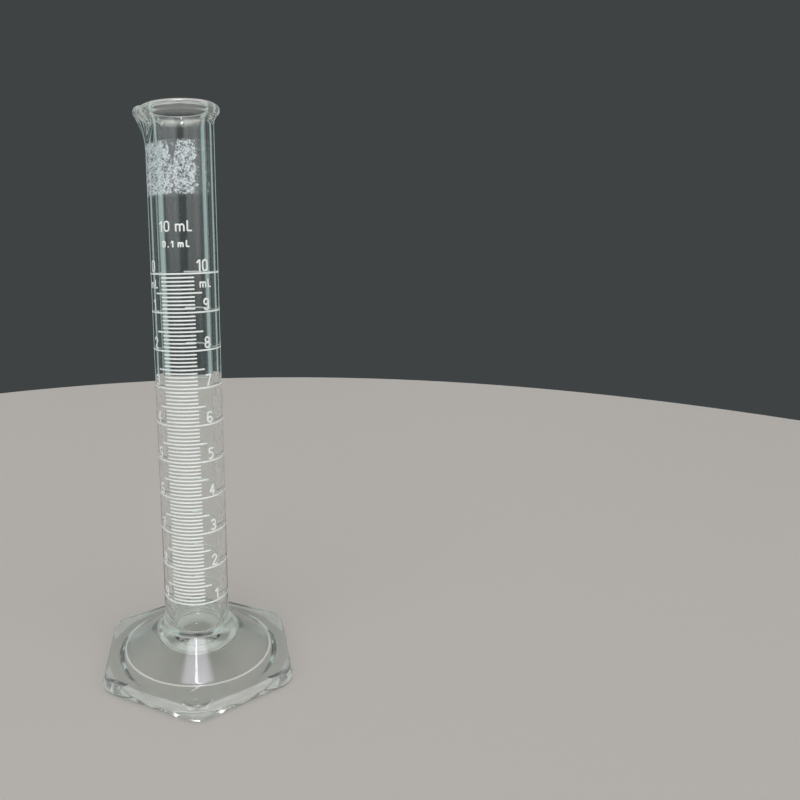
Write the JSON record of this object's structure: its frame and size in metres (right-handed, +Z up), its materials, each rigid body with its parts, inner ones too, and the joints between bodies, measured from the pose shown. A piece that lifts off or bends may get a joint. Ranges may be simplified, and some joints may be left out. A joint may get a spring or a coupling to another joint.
{
  "type": "graduated cylinder",
  "caption": "Clear glass measuring cylinder with a spouted, beaded mouth, a hexagonal foot and a white enamel double scale for small volumes.",
  "frame": {"origin": "centre of the foot's underside, on the surface that it stands on", "axes": "+Z up along the tube's axis, out of the mouth; a corner of the foot points to -Y; the scale faces -Y turned 12 degrees towards -X, and the spout faces -X turned 12 degrees towards +Y"},
  "size_m": [0.046, 0.0514, 0.1361],
  "materials": {
    "glass": "fire-polished clear borosilicate glass",
    "enamel": "thin fired white enamel, slightly satin"
  },
  "bodies": {
    "root": {"glass_cylinder": "glass", "millilitre_rings": "enamel", "half_millilitre_lines": "enamel", "tenth_millilitre_lines": "enamel", "rising_numerals": "enamel", "falling_numerals": "enamel", "unit_marks": "enamel", "capacity_legend": "enamel", "marking_spot": "enamel"}
  },
  "joints": []
}
